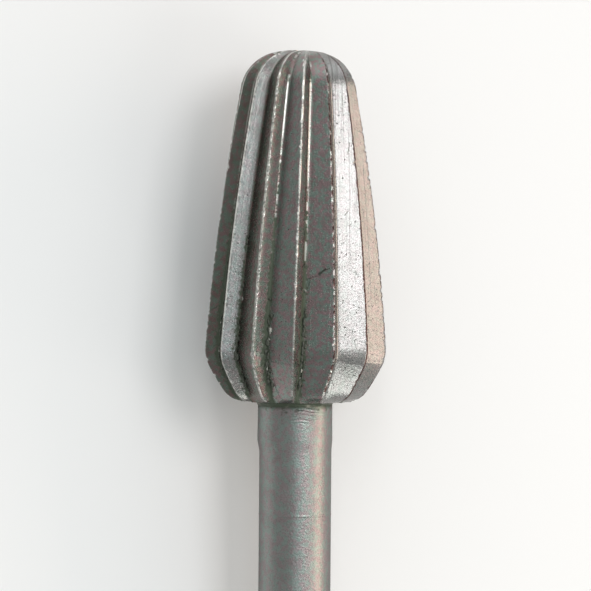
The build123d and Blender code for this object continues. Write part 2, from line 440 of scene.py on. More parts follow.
def tooth_columns():
    """Points of one gullet, rows by columns."""
    steep, root, shallow = stations[:, 0], stations[:, 1], stations[:, 2]
    columns = [steep + (root - steep) * share for share in FACE_SHARES]
    to_steep, to_shallow = steep - root, shallow - root
    steep_length = np.linalg.norm(to_steep, axis=1, keepdims=True)
    shallow_length = np.linalg.norm(to_shallow, axis=1, keepdims=True)
    set_back = np.minimum(ROOT_RADIUS, ROOT_LIMIT * steep_length)
    on_face = root + to_steep / steep_length * set_back
    on_back = root + to_shallow / shallow_length * set_back
    for turn in np.arange(ROOT_STEPS + 1) / ROOT_STEPS:
        columns.append((1 - turn) ** 2 * on_face + 2 * turn * (1 - turn) * root
                       + turn ** 2 * on_back)
    columns += [root + to_shallow * share for share in BACK_SHARES]
    return np.stack(columns, axis=1)


one_tooth = tooth_columns()
ROWS, COLUMNS = one_tooth.shape[:2]
across = np.concatenate([np.zeros((ROWS, 1)), np.cumsum(
    np.linalg.norm(np.diff(one_tooth, axis=1), axis=2), axis=1)], axis=1)
root_column = len(FACE_SHARES) + 1
print("columns a tooth:", COLUMNS, "triangles:", 2 * ROWS * COLUMNS * TOOTH_COUNT)

# %% [markdown]
# ## Chips along the crests
# Cemented carbide is hard and brittle, so the crests of a used burr show small chips and a
# few worn stretches. Bump in the material would leave the outline straight, so the chips are
# real shape. Each crest gets its own, from a seeded random draw: for every row the list says
# how far the crest is broken back, and points that stand higher are brought down.

# %% Chips
CHIP_SEED = 7
CHIPS_BEHIND_TOOTH = (48, 40, 50, 44, 60, 60, 48, 14, 30, 70, 50, 40, 55, 45)
CHIP_WIDTHS = (0.02, 0.07)
CHIP_DEPTHS = (0.008, 0.045)
CHIP_LEANS = (0.4, 1.6)  # one side of a chip is steeper than the other
CHIP_REACH = 1.3  # widths; flat within 0.3 of the middle
WORN_STRETCHES = 3
WORN_LENGTHS = (0.2, 0.7)
WORN_DEPTH = 0.012
CREST_ROUGHNESS = 0.0035
LEAST_ROUGHNESS = 0.15  # of that, everywhere, which keeps the skin inside the solid


def broken_back(random, chips):
    """How far one crest is broken back, row by row."""
    depth = CREST_ROUGHNESS * (LEAST_ROUGHNESS + np.abs(random.normal(size=ROWS)))
    for _ in range(chips):
        place = random.uniform(along[0], along[-1])
        width = random.uniform(*CHIP_WIDTHS)
        deep = CHIP_DEPTHS[0] + (CHIP_DEPTHS[1] - CHIP_DEPTHS[0]) * random.uniform() ** 2
        lean = random.uniform(*CHIP_LEANS)
        near = (along - place) / width
        near = np.where(near < 0, near * lean, near / lean)
        depth = np.maximum(depth, deep * np.clip(CHIP_REACH - np.abs(near), 0, 1))
    for _ in range(WORN_STRETCHES):
        place = random.uniform(along[0], along[-1])
        length = random.uniform(*WORN_LENGTHS)
        depth = np.maximum(depth, WORN_DEPTH * np.exp(-((along - place) / length) ** 4))
    return depth


random = np.random.default_rng(CHIP_SEED)
breaks = [broken_back(random, chips) for chips in CHIPS_BEHIND_TOOTH]
print("deepest chip", round(max(depth.max() for depth in breaks), 3), "mm")

# %% [markdown]
# ## The head's mesh
# The gullet is copied round the axis, each copy is chipped, and the copies are joined to one
# closed skin. An array modifier would repeat the same chips on every tooth, so the copies are
# made here. The head is then rolled until two neighbouring teeth rest on the table.

# %% Chip the teeth and stand them round the axis
CHIP_SHOWS = 0.006  # a chip of this depth looks fully fresh


def chipped(points, depth):
    """Points that stand above the broken crest are brought down to it."""
    radius = np.hypot(points[..., 0], points[..., 1])
    out, back = np.cos(slopes)[:, None], np.sin(slopes)[:, None]
    below = (blanks[:, :1] - radius) * out + (blanks[:, 1:] + points[..., 2]) * back
    short = np.maximum(0.0, depth - below)
    moved = points.copy()
    moved[..., :2] *= ((radius - short * out) / radius)[..., None]
    moved[..., 2] += short * back
    return moved, short


def turned_about(points, turn):
    """Points turned about the tool's axis."""
    moved = points.copy()
    moved[..., 0] = points[..., 0] * math.cos(turn) - points[..., 1] * math.sin(turn)
    moved[..., 1] = points[..., 0] * math.sin(turn) + points[..., 1] * math.cos(turn)
    return moved


def resting_roll():
    """Turn of the head at which two neighbouring crests point down alike."""
    steep, _, shallow = gullet_station(arcs[3], tilt)
    crest = (math.atan(shallow[1] / shallow[0]) + math.atan(steep[1] / steep[0])
             + PITCH_TURN) / 2
    return math.pi / 2 + PITCH_TURN / 2 - crest


roll = resting_roll()
before_root = np.arange(COLUMNS)[None, :] < root_column
skins, chip_masks = [], []
for tooth in range(TOOTH_COUNT):
    depth = np.where(before_root, breaks[tooth - 1][:, None], breaks[tooth][:, None])
    skin, short = chipped(one_tooth, depth)
    skins.append(turned_about(skin, roll + tooth * PITCH_TURN))
    chip_masks.append(np.clip(short / CHIP_SHOWS, 0, 1))
head_points = np.concatenate(skins, axis=1)
total_columns = COLUMNS * TOOTH_COUNT
print("roll", round(math.degrees(roll), 3), "degrees,", total_columns, "columns in all")


# %% Helpers for a mesh
def closed_ring_faces(rows, columns):
    """Quads of a grid that closes on itself across."""
    row, column = np.meshgrid(np.arange(rows - 1), np.arange(columns), indexing="ij")
    following = (column + 1) % columns
    quads = np.stack([row * columns + column, row * columns + following,
                      (row + 1) * columns + following, (row + 1) * columns + column], axis=-1)
    return quads.reshape(-1, 4)[:, ::-1].tolist()


def new_piece(name, points, faces, crease=None):
    """A smooth mesh in the frame, sharp at edges over crease degrees, that rides on the tool."""
    mesh = bpy.data.meshes.new(name)
    mesh.from_pydata(laid_down(points).tolist(), [], faces)
    mesh.update()
    mesh.polygons.foreach_set("use_smooth", [True] * len(mesh.polygons))
    if crease:
        mesh.set_sharp_from_angle(angle=math.radians(crease))
    piece = bpy.data.objects.new(name, mesh)
    bpy.context.scene.collection.objects.link(piece)
    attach(piece, "root")
    print(name, len(mesh.vertices), "points", len(mesh.polygons), "faces")
    return piece


def keep_values(piece, name, values):
    """A value for each point of a mesh, for its finish to read."""
    layer = piece.data.attributes.new(name, "FLOAT", "POINT")
    layer.data.foreach_set("value", np.asarray(values, np.float32).ravel())


# %% Build the head
HEAD_CREASE = 28.0
points = np.concatenate([head_points.reshape(-1, 3),
                         [[0, 0, head_points[0, 0, 2]], [0, 0, -HEAD_LENGTH]]])
tip_centre, back_centre = len(points) - 2, len(points) - 1
last_row = (ROWS - 1) * total_columns
caps = [(tip_centre, column, (column + 1) % total_columns)
        for column in range(total_columns)]
caps += [(back_centre, last_row + (column + 1) % total_columns, last_row + column)
         for column in range(total_columns)]
head = new_piece("ground_head", points, closed_ring_faces(ROWS, total_columns) + caps,
                 HEAD_CREASE)
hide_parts("cutter_head")

# %% [markdown]
# ## What the head's mesh keeps
# The finish needs to know where it is on a tooth. That could be worked out from the place in
# space, but the teeth lean and taper. So the mesh keeps a few values at each point, and a UV
# map whose two coordinates are the millimetres across and along the tooth. The grinding marks
# follow that map. Each tooth starts elsewhere on it, so that no two look alike.

# %% Values along and across the teeth
ROOT_FADE = 0.16  # mm


def keep_on_head(name, grid, at_tip=0.0, at_back=0.0):
    """Keeps a value for each point of the head's grid and for its two end points."""
    keep_values(head, name, np.concatenate([grid.ravel(), [at_tip, at_back]]))


from_root = np.abs(across - across[:, root_column:root_column + 1])
keep_on_head("root", np.tile(np.exp(-from_root / ROOT_FADE), (1, TOOTH_COUNT)))
keep_on_head("chip", np.concatenate(chip_masks, axis=1))
keep_on_head("behind", -head_points[..., 2], at_back=HEAD_LENGTH)
print("kept:", [layer.name for layer in head.data.attributes if layer.data_type == "FLOAT"])

# %% Across and along, face by face
MAP_SHIFT = (5.3, 17.7)  # each tooth starts this much further across and along
across_of = np.concatenate([across + tooth * MAP_SHIFT[0] for tooth in range(TOOTH_COUNT)],
                           axis=1)
along_of = along[:, None] + np.repeat(np.arange(TOOTH_COUNT) * MAP_SHIFT[1], COLUMNS)[None, :]
left = np.stack([across_of, along_of], axis=-1)
following = np.roll(left, -1, axis=1)
lands = np.arange(total_columns) % COLUMNS == COLUMNS - 1
following[:, lands] = left[:, lands] + (LAND_WIDTH, 0.0)
corners = np.stack([left[1:], following[1:], following[:-1], left[:-1]], axis=2)
uv_values = np.zeros((len(head.data.loops), 2), np.float32)
uv_values[:corners.size // 2] = corners.reshape(-1, 2)
head.data.uv_layers.new(name="across_along").data.foreach_set("uv", uv_values.ravel())
print("map up to", uv_values.max(axis=0).round(1), "mm across and along")

# %% [markdown]
# ## Braze and shank
# Both are turned things: a profile of radius against distance from the tip, taken once round.
# A spin of a drawn profile would do for a plain bar, but the neck swells to one side, where the
# braze pulled it, so each ring may have its own radius all round. The rings are close enough
# to carry the ripples that the heat left and the one mark of the lathe tool.

# %% Sizes of the shank and a lathe
SHANK_RADIUS = 2.35 / 2
NECK_TOP_RADIUS = 2.39 / 2
NECK_OFFSET = 0.03
NECK_OFFSET_TURN = math.radians(169.0)
NECK_LENGTH = 1.13
NECK_FADE = 0.45
BRAZE_FILM = 0.08
OVERALL_LENGTH = 44.5
END_CHAMFER = 0.25
LATHE_CREASE = 30.0
neck_top = HEAD_LENGTH + BRAZE_FILM
neck_foot = neck_top + NECK_LENGTH
print("neck from", neck_top, "to", neck_foot, "mm behind the tip")


def lathe(name, places, radii, columns, shift=(0.0, 0.0)):
    """A turned skin: one ring for each place along the axis, radii by ring and by turn."""
    turn = np.arange(columns) * 2 * math.pi / columns
    radii = np.broadcast_to(radii, (len(places), columns))
    behind = np.broadcast_to(places[:, None], radii.shape)
    grid = np.stack([radii * np.cos(turn) + shift[0], radii * np.sin(turn) + shift[1], -behind],
                    axis=-1)
    last_ring = range((len(places) - 1) * columns, len(places) * columns)
    ends = [list(range(columns)), list(last_ring)[::-1]]
    piece = new_piece(name, grid.reshape(-1, 3), closed_ring_faces(len(places), columns) + ends,
                      LATHE_CREASE)
    keep_values(piece, "behind", behind)
    return piece


# %% Rings of the shank
RING_BEHIND_TIP = 15.09  # a faint ring that the lathe tool left
RING_WIDTH = 0.03
RING_HEIGHT = 0.006
RING_REACH = 0.1
SHANK_COLUMNS = 160
END_TRIM = 0.0005  # the skin ends a hair inside the solid
chamfer_start = OVERALL_LENGTH - END_CHAMFER
ends_of_stretches = (neck_top, neck_foot, neck_foot + NECK_FADE, RING_BEHIND_TIP - RING_REACH,
                     RING_BEHIND_TIP + RING_REACH)
rings_in_stretches = (130, 16, 20, 28)
places = np.concatenate([
    *[np.linspace(*ends_of_stretches[number:number + 2], count, endpoint=False)
      for number, count in enumerate(rings_in_stretches)],
    np.linspace(ends_of_stretches[-1], chamfer_start, 110),
    np.linspace(chamfer_start, OVERALL_LENGTH - END_TRIM, 4)[1:],
])
turn = np.arange(SHANK_COLUMNS) * 2 * math.pi / SHANK_COLUMNS
radii = np.interp(places, [neck_top, chamfer_start, OVERALL_LENGTH],
                  [SHANK_RADIUS, SHANK_RADIUS, SHANK_RADIUS - END_CHAMFER])
ring = RING_HEIGHT * np.exp(-((places - RING_BEHIND_TIP) / RING_WIDTH) ** 2)
print("rings:", len(places))

# %% The neck's swelling
NECK_SWELL = 0.012  # all round
NECK_SWELL_BEHIND = 0.056  # and more where the neck leans out
NECK_SWELL_AHEAD = 0.014
SWELL_AT_TOP = 0.75  # of that at the foot
leaning = np.cos(turn - NECK_OFFSET_TURN)
swelling = NECK_SWELL + np.where(leaning > 0, NECK_SWELL_BEHIND, NECK_SWELL_AHEAD) * leaning ** 2
rising = np.interp(places, [neck_top, neck_foot], [SWELL_AT_TOP, 1.0])
swell = rising * (1 - smooth_step((places - neck_foot) / NECK_FADE))
print("neck swells by", swelling.min().round(3), "to", swelling.max().round(3), "mm")

# %% The ripples and the shank
RIPPLE_START, RIPPLE_END = 0.02, 0.62  # below the neck's top
RIPPLE_RISE, RIPPLE_FALL = 0.12, 0.25
RIPPLE_LENGTH = 0.110
RIPPLE_HEIGHT = 0.0125
RIPPLE_PATCHES = ((-84.0, 20.0), (35.0, 30.0), (150.0, 18.0))  # turn and spread, degrees
RIPPLE_WANDER = ((1.6, 3, 0.7), (1.1, 7, 0.0), (0.7, 12, 2.0))  # how much, times round, start
wander = sum(much * np.sin(times * turn + start) for much, times, start in RIPPLE_WANDER)
below = places - neck_top
lively = (np.clip((below - RIPPLE_START) / RIPPLE_RISE, 0, 1)
          * np.clip((RIPPLE_END - below) / RIPPLE_FALL, 0, 1))
rippled = sum(np.exp(-((np.degrees(turn) - centre + 180) % 360 - 180) ** 2 / spread ** 2)
              for centre, spread in RIPPLE_PATCHES)
ripples = RIPPLE_HEIGHT * lively[:, None] * rippled * np.sin(
    2 * math.pi * below[:, None] / RIPPLE_LENGTH + wander)
shank = lathe("steel_shank", places, (radii + ring)[:, None] + swell[:, None] * swelling
              + ripples, SHANK_COLUMNS)
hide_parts("shank")

# %% The braze
BRAZE_FILLET = 0.16
BRAZE_THROAT = 0.055
BRAZE_INNER = 0.2  # the film's ends close at this radius, out of sight
BRAZE_COLUMNS = 128
FILLET_STEPS = 10
fall = np.linspace(0, 1, FILLET_STEPS + 1)
bow = np.sin(fall * math.pi) * (BRAZE_FILLET / 2 - BRAZE_THROAT)
places = HEAD_LENGTH + np.concatenate([[0.0], BRAZE_FILLET * fall - bow, [BRAZE_FILLET]])
radii = np.concatenate([[BRAZE_INNER], NECK_TOP_RADIUS + BRAZE_FILLET * (1 - fall) - bow,
                        [BRAZE_INNER]])
braze = lathe("braze_fillet", np.maximum(places, HEAD_LENGTH), radii[:, None], BRAZE_COLUMNS,
              (NECK_OFFSET * math.cos(NECK_OFFSET_TURN),
                        NECK_OFFSET * math.sin(NECK_OFFSET_TURN)))
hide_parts("braze_joint")

# %% [markdown]
# ## Swarf in the gullets
# A used burr keeps bits of what it cut. They sit in the roots, mostly towards the back where
# the gullets are deepest. A particle system would scatter them over the whole head, so each
# is placed here: a small lumpy ball, stretched along the gullet and pressed near its root.

# %% One ball, and where the bits may lie
BITS = 240
SWARF_SEED = 11
BITS_BY_TOOTH = (5, 8, 3, 6, 9, 12, 16, 20, 0, 1, 4, 7, 3, 6)  # parts of a hundred
BITS_END, BITS_SPREAD = 0.35, 1.7  # from the back face, mm
FRONT_MOST = 1.5  # behind the tip
ball = bmesh.new()
bmesh.ops.create_icosphere(ball, subdivisions=2, radius=1.0)
ball_points = np.array([list(vertex.co) for vertex in ball.verts])
ball_faces = np.array([[vertex.index for vertex in face.verts] for face in ball.faces])
ball.free()
print("a ball of", len(ball_points), "points")

# %% Bits of swarf
BIT_SIZES = (0.016, 0.060)
BIT_SPREAD = 0.13
BIT_THICKNESS = 0.6  # of its size
BIT_WIDTHS = (0.6, 1.2)
BIT_LENGTHS = (0.8, 2.6)
BIT_LUMPS = 0.25
ABOVE_ROOT, ABOVE_BY_SIZE = 0.35, 0.4  # of the root's radius, of the bit's size
to_tip = np.array([0.0, 0.0, 1.0])
bit_random = np.random.default_rng(SWARF_SEED)
bit_points, bit_tones = [], []
for bit in range(BITS):
    tooth = bit_random.choice(TOOTH_COUNT, p=np.array(BITS_BY_TOOTH) / sum(BITS_BY_TOOTH))
    place = HEAD_LENGTH - BITS_END - abs(bit_random.normal()) * BITS_SPREAD
    row = int(np.argmin(np.abs(blanks[:, 1] - max(place, FRONT_MOST))))
    root_place = turned_about(stations[row, 1], roll + tooth * PITCH_TURN)
    size = bit_random.uniform(*BIT_SIZES)
    outward = root_place * (1, 1, 0)
    outward /= np.linalg.norm(outward)
    sideways = np.cross(to_tip, outward)
    stretch = size * np.array([BIT_THICKNESS, bit_random.uniform(*BIT_WIDTHS),
                               bit_random.uniform(*BIT_LENGTHS)])
    lumps = 1 + BIT_LUMPS * bit_random.normal(size=(len(ball_points), 1))
    centre = (root_place + outward * (ROOT_RADIUS * ABOVE_ROOT + size * ABOVE_BY_SIZE)
              + sideways * BIT_SPREAD * bit_random.uniform() ** 2)
    bit_points.append(centre + (ball_points * lumps * stretch) @ (outward, sideways, to_tip))
    bit_tones += [bit_random.uniform()] * len(ball_points)
bit_faces = [ball_faces + bit * len(ball_points) for bit in range(BITS)]
swarf = new_piece("swarf_bits", np.concatenate(bit_points),
                  np.concatenate(bit_faces).tolist())
keep_values(swarf, "tone", bit_tones)

# %% [markdown]
# ## Shared effects
# Six effects come back on several finishes, so each is a node group with named sockets: the
# fine grain of a ground surface, scattered pits, marks that run one way, one placed scratch, a
# stain that comes and goes, and the faint tint of handled metal. They could be built anew in
# each material, but a group is made once and can be used again elsewhere. Each gives out only
# a value or a colour, and the finish decides what to do with it. Long chains of Math nodes are
# hard to read as code, so a small class stands for one output of a node: sums and products
# with it add the Math nodes.

# %% Wires between nodes
class Wire:
    """One output of a node. Sums, products and powers with it add Math nodes to its tree."""

    def __init__(self, tree, socket):
        self.tree, self.socket = tree, socket

    def math(self, operation, first, second):
        """A Math node of two values, which are wires or numbers."""
        return add_node(self.tree, "Math", {0: first, 1: second}, operation=operation)

    def __rsub__(self, other):
        return self.math("SUBTRACT", other, self)

    def or_more(self, other):
        """The larger of two values."""
        return self.math("MAXIMUM", self, other)

    def between(self, low, high):
        """Low where this is 0, high where it is 1."""
        return self * (high - low) + low

    def ramp(self, low, high):
        """0 below low, 1 above high, smooth between."""
        return add_node(self.tree, "MapRange", {"Value": self, "From Min": low, "From Max": high},
                        "Result", interpolation_type="SMOOTHSTEP")

    def vector(self, operation, others, output="Vector"):
        """A Vector Math node, with this as its first input."""
        return add_node(self.tree, "VectorMath", {0: self, **others}, output,
                        operation=operation)


for sign, operation in {"add": "ADD", "sub": "SUBTRACT", "mul": "MULTIPLY",
                        "truediv": "DIVIDE", "pow": "POWER"}.items():
    setattr(Wire, f"__{sign}__", lambda self, other, operation=operation:
            self.math(operation, self, other))
print("a wire knows + - * / and **")


# %% Nodes
def feed(socket, value):
    """Gives a socket a wire, a colour or a plain value."""
    if isinstance(value, Wire):
        value.tree.links.new(value.socket, socket)
    elif socket.type == "RGBA":
        socket.default_value = (*value, 1.0)
    else:
        socket.default_value = value


def add_node(tree, kind, inputs, output=0, **settings):
    """A node with its inputs and settings, as the wire of one of its outputs."""
    node = tree.nodes.new("ShaderNode" + kind)
    for name, value in settings.items():
        setattr(node, name, value)
    for name, value in inputs.items():
        feed(node.inputs[name], value)
    return Wire(tree, node.outputs[output])


def noise(place, scale, detail, roughness=0.5, distortion=0.0, output="Fac"):
    """Soft noise with this many lumps to a millimetre."""
    return add_node(place.tree, "TexNoise",
                    {"Vector": place, "Scale": scale, "Detail": detail,
                     "Roughness": roughness, "Distortion": distortion}, output)


def mix(mask, first, second):
    """The first colour where the mask is 0, the second where it is 1."""
    return add_node(mask.tree, "Mix", {0: mask, 6: first, 7: second}, 2, data_type="RGBA")


# %% Groups
def new_group(name, inputs, outputs):
    """A group with its named sockets: the wires it is given, and the sockets it gives out.

    An input is a number, or a vector where its default is None.
    """
    group = bpy.data.node_groups.new(name, "ShaderNodeTree")
    for label, default in inputs.items():
        kind = "NodeSocketVector" if default is None else "NodeSocketFloat"
        socket = group.interface.new_socket(label, in_out="INPUT", socket_type=kind)
        if default is not None:
            socket.default_value = default
    for label, kind in outputs.items():
        group.interface.new_socket(label, in_out="OUTPUT", socket_type="NodeSocket" + kind)
    given = group.nodes.new("NodeGroupInput").outputs
    print("group", name, "takes", list(inputs), "and gives", list(outputs))
    return (group, {label: Wire(group, given[label]) for label in inputs},
            group.nodes.new("NodeGroupOutput").inputs)


def use(group, where, **inputs):
    """A group laid over a place, with inputs by name: its one output, or all in their order."""
    node = where.tree.nodes.new("ShaderNodeGroup")
    node.node_tree = group
    feed(node.inputs[0], where)
    for name, value in inputs.items():
        feed(node.inputs[name.replace("_", " ").capitalize()], value)
    wires = [Wire(where.tree, socket) for socket in node.outputs]
    return wires[0] if len(wires) == 1 else wires


# %% Grain
CLOUDS_PER_GRAIN = 0.14
grain_group, given, gives = new_group(
    "surface_grain", {"Place": None, "Grains per mm": 12.0},
    {"Grain": "Float", "Clouds": "Float"})
grains = given["Grains per mm"]
feed(gives["Grain"], noise(given["Place"], grains, 3.0, 0.65))
feed(gives["Clouds"], noise(given["Place"], grains * CLOUDS_PER_GRAIN, 2.0))

# %% Pits
PIT_RAGGEDNESS = 0.07  # mm by which noise pushes a pit's edge
SMALLEST_PIT = 0.35  # of the size, and the largest is 1 more
pits_group, given, gives = new_group(
    "scattered_pits", {"Place": None, "Pits per mm": 6.0, "Share": 0.3, "Size": 0.3},
    {"Pit": "Float"})
ragged = noise(given["Place"], given["Pits per mm"] * 2.0, 1.0, output="Color")
cells = {"Vector": ragged.vector("MULTIPLY_ADD", {1: (PIT_RAGGEDNESS,) * 3, 2: given["Place"]}),
         "Scale": given["Pits per mm"]}
distance = add_node(pits_group, "TexVoronoi", cells, "Distance")
cell_colour = Wire(pits_group, distance.socket.node.outputs["Color"])
chance = add_node(pits_group, "SeparateColor", {"Color": cell_colour}, "Red")
fatness = Wire(pits_group, chance.socket.node.outputs["Green"])
chosen = chance.math("LESS_THAN", chance, given["Share"])
reach = given["Size"] * (fatness + SMALLEST_PIT)
feed(gives["Pit"], (1.0 - distance.ramp(0.0, reach)) * chosen)

# %% Marks that run one way
FEWEST_SCRATCHES = 0.72  # noise above this is a scratch when their share is 0
SCRATCH_EDGE = 0.06
marks_group, given, gives = new_group(
    "directed_marks", {"Across and along": None, "Marks per mm": 20.0, "Breaks per mm": 0.4,
                       "Scratch share": 0.1},
    {"Lines": "Float", "Scratch": "Float"})
x, y, z = [Wire(marks_group, socket) for socket in add_node(
    marks_group, "SeparateXYZ", {"Vector": given["Across and along"]}).socket.node.outputs]
stretched = add_node(marks_group, "CombineXYZ", {
    "X": x * given["Marks per mm"], "Y": y * given["Breaks per mm"], "Z": z})
lines = noise(stretched, 1.0, 3.0, 0.7)
level = FEWEST_SCRATCHES - given["Scratch share"]
feed(gives["Lines"], lines)
feed(gives["Scratch"], lines.ramp(level, level + SCRATCH_EDGE))

# %% One scratch
SCRATCH_WAVES = 9.0  # to a mm
SCRATCH_WOBBLE = 0.07  # mm
SCRATCH_CORE = 0.4  # of its width is fully dark
scratch_group, given, gives = new_group(
    "one_scratch", {"Across and along": None, "Start": None, "End": None, "Width": 0.02},
    {"Scratch": "Float"})
here = given["Across and along"]
bent = noise(here, SCRATCH_WAVES, 2.0, output="Color").vector(
    "MULTIPLY_ADD", {1: (SCRATCH_WOBBLE, SCRATCH_WOBBLE, 0.0), 2: here})
to_place = bent.vector("SUBTRACT", {1: given["Start"]})
to_end = given["End"].vector("SUBTRACT", {1: given["Start"]})
run = (to_place.vector("DOT_PRODUCT", {1: to_end}, "Value")
       / to_end.vector("DOT_PRODUCT", {1: to_end}, "Value"))
run = run.math("MINIMUM", run.or_more(0.0), 1.0)
off = to_place.vector("DISTANCE", {1: to_end.vector("SCALE", {"Scale": run})}, "Value")
feed(gives["Scratch"], 1.0 - off.ramp(given["Width"] * SCRATCH_CORE, given["Width"]))

# %% Stain
STAIN_STARTS = 0.78  # noise above this is stained when the amount is 0
STAIN_GROWS = 0.62  # by which an amount of 1 brings that down
STAIN_EDGE = 0.2
stain_group, given, gives = new_group(
    "patchy_stain", {"Place": None, "Patches per mm": 3.0, "Amount": 0.5},
    {"Stain": "Float"})
patches = noise(given["Place"], given["Patches per mm"], 4.0, 0.62, 0.4)
threshold = STAIN_STARTS - given["Amount"] * STAIN_GROWS
feed(gives["Stain"], patches.ramp(threshold, threshold + STAIN_EDGE))

# %% Tint
TINT_RED = (1.0, 0.74, 0.78)
TINT_GREEN = (0.78, 1.0, 0.91)
NO_TINT = (1.0, 1.0, 1.0)
tint_group, given, gives = new_group(
    "handled_tint", {"Place": None, "Patches per mm": 4.0, "Amount": 1.0},
    {"Tint": "Color"})
patches = noise(given["Place"], given["Patches per mm"], 3.0, 0.6)
feed(gives["Tint"], mix(given["Amount"], NO_TINT,
                        mix(patches.ramp(0.40, 0.60), TINT_RED, TINT_GREEN)))

# %% [markdown]
# ## Ground carbide
# The grinding wheel leaves a fine grain with a few long marks. Small pits are torn out of the
# sintered metal, more of them towards the back of the head. Some faces carry a thin brown
# film from heat and handling, and the same film is laid thick as painted shade on the faces
# that look away from the lamps. Grime sits in the roots, with painted shade that darkens them,
# the crests are darkened here and there, and the chips are fresh and bright. Painted highlights
# run along some crests and in some rounded roots. One rule for all teeth would make them alike,
# and painting each by hand would be slow, so a table says which tooth carries how much, and the
# mesh keeps it.

# %% What each tooth carries
CREST_FADE = 0.045  # mm
LINES_ON_FACES = (0.3,) * TOOTH_COUNT
LINES_ON_BACKS = (0.3, 0.6, 0.2, 0.5, 0.7, 0.1, 0.1, 0.05, 1.0, 0.15, 0.4, 0.6, 0.3, 0.5)
# The film tables give a thin brown film, laid thick as painted shade on faces turned away from
# the lamps.
FILM_AND_SHADE_ON_FACES = (0.2, 0.1, 0.3, 0.2, 0.75, 0.0, 0.45, 0.3, 0.1, 0.2, 0.0, 0.3, 0.1, 0.2)
FILM_AND_SHADE_ON_BACKS = (0.3, 0.2, 0.5, 0.4, 0.65, 0.95, 0.15, 0.12, 0.0, 0.0, 0.1, 0.4, 0.2, 0.5)
TINT_ON_FACES = (0.8, 1.0, 0.7, 0.9, 1.0, 0.3, 0.9, 1.0, 0.8, 0.8, 0.6, 0.9, 1.0, 0.8)
TINT_ON_BACKS = (0.8, 1.0, 0.7, 0.9, 1.0, 1.0, 0.9, 1.0, 0.12, 0.22, 0.6, 0.9, 1.0, 0.8)
DARK_ON_CRESTS = (0.2, 0.0, 0.3, 0.1, 0.0, 0.0, 0.0, 0.0, 0.70, 1.0, 1.0, 0.2, 0.4, 0.1)
# How strong the painted highlight along each crest is.
CREST_HIGHLIGHT_BY_CREST = (0.3, 0.4, 0.3, 0.5, 0.2, 0.85, 0.95, 0.65, 0.1, 0.0, 0.1, 0.4, 0.3, 0.4)
# How strong the painted highlight in each tooth's rounded root is.
ROOT_HIGHLIGHT_BY_TOOTH = (0.4, 0.2, 0.5, 0.3, 0.3, 0.0, 0.8, 1.0, 0.0, 0.2, 0.5, 0.3, 0.2, 0.6)
# How much each tooth's root is darkened, by painted shade in the film colour and by grime.
ROOT_SHADE_AND_DIRT_BY_TOOTH = (0.5, 0.6, 0.4, 0.6, 0.5, 0.25, 0.5, 0.55, 0.08, 0.5, 0.4, 0.6, 0.5, 0.5)
# Where each root's painted highlight ends, in mm behind the tip; dashes run on behind it.
ROOT_HIGHLIGHT_ENDS = (3.0, 4.0, 2.5, 3.5, 3.0, 3.0, 3.4, 4.8, 3.0, 4.0, 3.0, 4.5, 3.5, 4.0)
cutting_face = np.arange(COLUMNS) <= root_column
from_steep = np.exp(-across / CREST_FADE)
from_shallow = np.exp(-(across[:, -1:] - across) / CREST_FADE)


def by_side(faces, backs):
    """The head's grid, with a value for each tooth's cutting face and one for its back."""
    teeth = np.where(cutting_face, np.array(faces)[:, None], np.array(backs)[:, None])
    return np.tile(teeth.ravel(), (ROWS, 1))


def by_crest(values, power):
    """The head's grid, with a value for each crest that fades away on both its sides."""
    return np.concatenate([
        np.maximum(from_steep ** power * crest, from_shallow ** power * following)
        for crest, following in zip(values, np.roll(values, -1))], axis=1)


# Of these values, the film and dark-root ones also paint shade, and the bright-crest and
# bright-root ones paint highlights.
for name, grid in {
    "lined": by_side(LINES_ON_FACES, LINES_ON_BACKS),
    "film_and_shade": by_side(FILM_AND_SHADE_ON_FACES, FILM_AND_SHADE_ON_BACKS),
    "tinted": by_side(TINT_ON_FACES, TINT_ON_BACKS),
    "dark_crest": by_crest(DARK_ON_CRESTS, 1),
    "painted_crest_highlight": by_crest(CREST_HIGHLIGHT_BY_CREST, 2),
    "painted_root_highlight": by_side(ROOT_HIGHLIGHT_BY_TOOTH, ROOT_HIGHLIGHT_BY_TOOTH),
    "root_shade_and_dirt": by_side(ROOT_SHADE_AND_DIRT_BY_TOOTH, ROOT_SHADE_AND_DIRT_BY_TOOTH),
    "root_highlight_end": by_side(ROOT_HIGHLIGHT_ENDS, ROOT_HIGHLIGHT_ENDS),
}.items():
    keep_on_head(name, grid)
    print(name, "from", grid.min().round(2), "to", grid.max().round(2))


# %% Helpers for a finish
def new_finish(name, piece):
    """A material on a piece: its tree, its shader's sockets and its place in millimetres."""
    finish = bpy.data.materials.new(name)
    finish.use_nodes = True
    piece.data.materials.append(finish)
    tree = finish.node_tree
    place = add_node(tree, "TexCoord", {}, "Object").vector("SCALE", {"Scale": 1 / MM})
    return tree, tree.nodes["Principled BSDF"].inputs, place


def kept(tree, name):
    """A value that the mesh keeps at each point."""
    return add_node(tree, "Attribute", {}, "Fac", attribute_name=name)


def layered(tone, layers):
    """A colour under layers of others, each with its mask."""
    for mask, colour in layers:
        tone = mix(mask, tone, colour)
    return tone


def tinted(tone, tint):
    """A colour times a tint."""
    return add_node(tone.tree, "Mix", {0: 1.0, 6: tone, 7: tint}, 2,
                    data_type="RGBA", blend_type="MULTIPLY")


def bumped(height):
    """The bent normal of a surface with this height in millimetres."""
    return add_node(height.tree, "Bump", {"Strength": 1.0, "Distance": MM, "Height": height})


